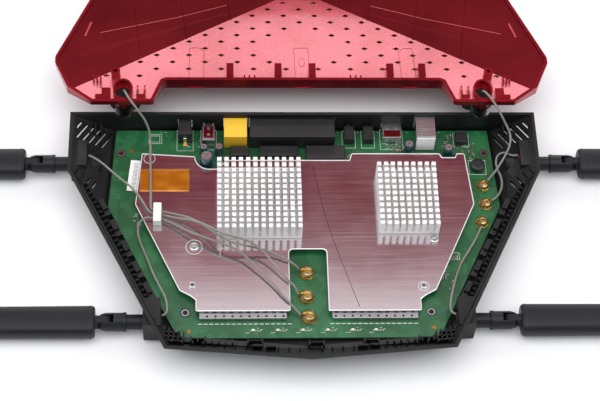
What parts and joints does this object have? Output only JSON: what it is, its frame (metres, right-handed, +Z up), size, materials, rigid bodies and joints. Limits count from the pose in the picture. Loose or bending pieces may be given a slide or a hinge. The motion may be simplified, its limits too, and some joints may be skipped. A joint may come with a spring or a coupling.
{
  "type": "wireless router",
  "caption": "Opened wireless router: tray with circuit board, heat plate, pin heatsinks and folding side antennas, its perforated cover turned over behind it.",
  "frame": {"origin": "middle of the bounding box on the surface that the feet stand on", "axes": "+X across to the right seen from the front, +Y towards the turned over cover behind the sockets, +Z up"},
  "size_m": [0.656, 0.378, 0.0405],
  "materials": {
    "black_abs": "fine grained moulding",
    "metallic_red": "metallic paint over plastic",
    "foot_rubber": "moulded",
    "board_laminate": "green solder mask over glass laminate",
    "nickel_plate": "thin plated sheet",
    "brushed_aluminium": "brushed along the width",
    "sink_aluminium": "clear anodised",
    "dark_nylon": "moulded",
    "yellow_nylon": "moulded",
    "capacitor_sleeve": "shrink sleeve",
    "white_nylon": "moulded",
    "amber_resin": "drop of resin over solder",
    "grey_jacket": "extruded jacket"
  },
  "bodies": {
    "tray": {"base_tray": "black_abs", "foot_rear_left": "foot_rubber", "foot_rear_right": "foot_rubber", "foot_front_left": "foot_rubber", "foot_front_right": "foot_rubber", "circuit_board": "board_laminate", "shield_can": "nickel_plate", "power_switch": "nickel_plate", "usb_port": "nickel_plate", "usb_port_stacked": "nickel_plate", "heatsink_screw_rear": "nickel_plate", "heatsink_screw_front": "nickel_plate", "plate_screw": "nickel_plate", "heat_plate": "brushed_aluminium", "heatsink_large": "sink_aluminium", "heatsink_small": "sink_aluminium", "dc_jack": "dark_nylon", "lan_jack_block": "dark_nylon", "magnetics_wan": "dark_nylon", "magnetics_left": "dark_nylon", "magnetics_right": "dark_nylon", "wps_switch": "dark_nylon", "reset_switch": "dark_nylon", "inductor_rear": "dark_nylon", "inductor_round": "dark_nylon", "wan_jack": "yellow_nylon", "capacitor_large": "capacitor_sleeve", "capacitor_left": "capacitor_sleeve", "capacitor_middle": "capacitor_sleeve", "capacitor_usb": "capacitor_sleeve", "capacitor_right": "capacitor_sleeve", "cable_clip": "white_nylon", "terminal_centre_rear": "amber_resin", "terminal_centre_middle": "amber_resin", "terminal_centre_front": "amber_resin", "terminal_right_rear": "amber_resin", "terminal_right_middle": "amber_resin", "terminal_right_front": "amber_resin", "lead_cover_left": "grey_jacket", "lead_left_rear": "grey_jacket", "lead_left_front": "grey_jacket", "lead_cover_right": "grey_jacket", "lead_right_rear": "grey_jacket", "lead_right_front": "grey_jacket"},
    "cover": {"top_cover": "metallic_red"},
    "power_button": {"power_button": "dark_nylon"},
    "wps_button": {"wps_button": "dark_nylon"},
    "reset_button": {"reset_button": "dark_nylon"},
    "knuckle_left_rear": {"knuckle_left_rear": "black_abs"},
    "paddle_left_rear": {"paddle_left_rear": "black_abs"},
    "knuckle_right_rear": {"knuckle_right_rear": "black_abs"},
    "paddle_right_rear": {"paddle_right_rear": "black_abs"},
    "knuckle_left_front": {"knuckle_left_front": "black_abs"},
    "paddle_left_front": {"paddle_left_front": "black_abs"},
    "knuckle_right_front": {"knuckle_right_front": "black_abs"},
    "paddle_right_front": {"paddle_right_front": "black_abs"},
    "knuckle_cover_left": {"knuckle_cover_left": "black_abs"},
    "paddle_cover_left": {"paddle_cover_left": "black_abs"},
    "knuckle_cover_right": {"knuckle_cover_right": "black_abs"},
    "paddle_cover_right": {"paddle_cover_right": "black_abs"}
  },
  "joints": [
    {"name": "cover_fold", "type": "hinge", "parent": "tray", "child": "cover", "pos_m": [0, -0.00085, 0.03215], "axis": [1, 0, 0], "range_deg": [0, 179.8], "deforming": ["lead_cover_left", "lead_cover_right"]},
    {"name": "power_press", "type": "slide", "parent": "tray", "child": "power_button", "axis": [0, -1, 0], "range_m": [0, 0.0015], "stiffness_N_per_m": 300},
    {"name": "wps_press", "type": "slide", "parent": "tray", "child": "wps_button", "axis": [0, -1, 0], "range_m": [0, 0.0005], "stiffness_N_per_m": 400},
    {"name": "reset_press", "type": "slide", "parent": "tray", "child": "reset_button", "axis": [0, -1, 0], "range_m": [0, 0.0005], "stiffness_N_per_m": 400},
    {"name": "left_rear_swivel", "type": "hinge", "parent": "tray", "child": "knuckle_left_rear", "pos_m": [-0.157, -0.032, 0.009], "axis": [1, 0, 0], "range_deg": [-90, 90]},
    {"name": "left_rear_fold", "type": "hinge", "parent": "knuckle_left_rear", "child": "paddle_left_rear", "pos_m": [-0.181, -0.032, 0.009], "axis": [0, 1, 0], "range_deg": [0, 90]},
    {"name": "right_rear_swivel", "type": "hinge", "parent": "tray", "child": "knuckle_right_rear", "pos_m": [0.157, -0.032, 0.009], "axis": [1, 0, 0], "range_deg": [-90, 90]},
    {"name": "right_rear_fold", "type": "hinge", "parent": "knuckle_right_rear", "child": "paddle_right_rear", "pos_m": [0.181, -0.032, 0.009], "axis": [0, -1, 0], "range_deg": [0, 90]},
    {"name": "left_front_swivel", "type": "hinge", "parent": "tray", "child": "knuckle_left_front", "pos_m": [-0.106, -0.153, 0.009], "axis": [1, 0, 0], "range_deg": [-90, 90]},
    {"name": "left_front_fold", "type": "hinge", "parent": "knuckle_left_front", "child": "paddle_left_front", "pos_m": [-0.13, -0.153, 0.009], "axis": [0, 1, 0], "range_deg": [0, 90]},
    {"name": "right_front_swivel", "type": "hinge", "parent": "tray", "child": "knuckle_right_front", "pos_m": [0.106, -0.153, 0.009], "axis": [1, 0, 0], "range_deg": [-90, 90]},
    {"name": "right_front_fold", "type": "hinge", "parent": "knuckle_right_front", "child": "paddle_right_front", "pos_m": [0.13, -0.153, 0.009], "axis": [0, -1, 0], "range_deg": [0, 90]},
    {"name": "cover_left_swivel", "type": "hinge", "parent": "cover", "child": "knuckle_cover_left", "pos_m": [-0.1224, 0.0096, 0.02], "axis": [0, 0, 1], "range_deg": [0, 80]},
    {"name": "cover_left_fold", "type": "hinge", "parent": "knuckle_cover_left", "child": "paddle_cover_left", "pos_m": [-0.1224, 0.0096, 0.009], "axis": [-1, 0, 0], "range_deg": [0, 90]},
    {"name": "cover_right_swivel", "type": "hinge", "parent": "cover", "child": "knuckle_cover_right", "pos_m": [0.1224, 0.0096, 0.02], "axis": [0, 0, -1], "range_deg": [0, 80]},
    {"name": "cover_right_fold", "type": "hinge", "parent": "knuckle_cover_right", "child": "paddle_cover_right", "pos_m": [0.1224, 0.0096, 0.009], "axis": [-1, 0, 0], "range_deg": [0, 90]}
  ]
}
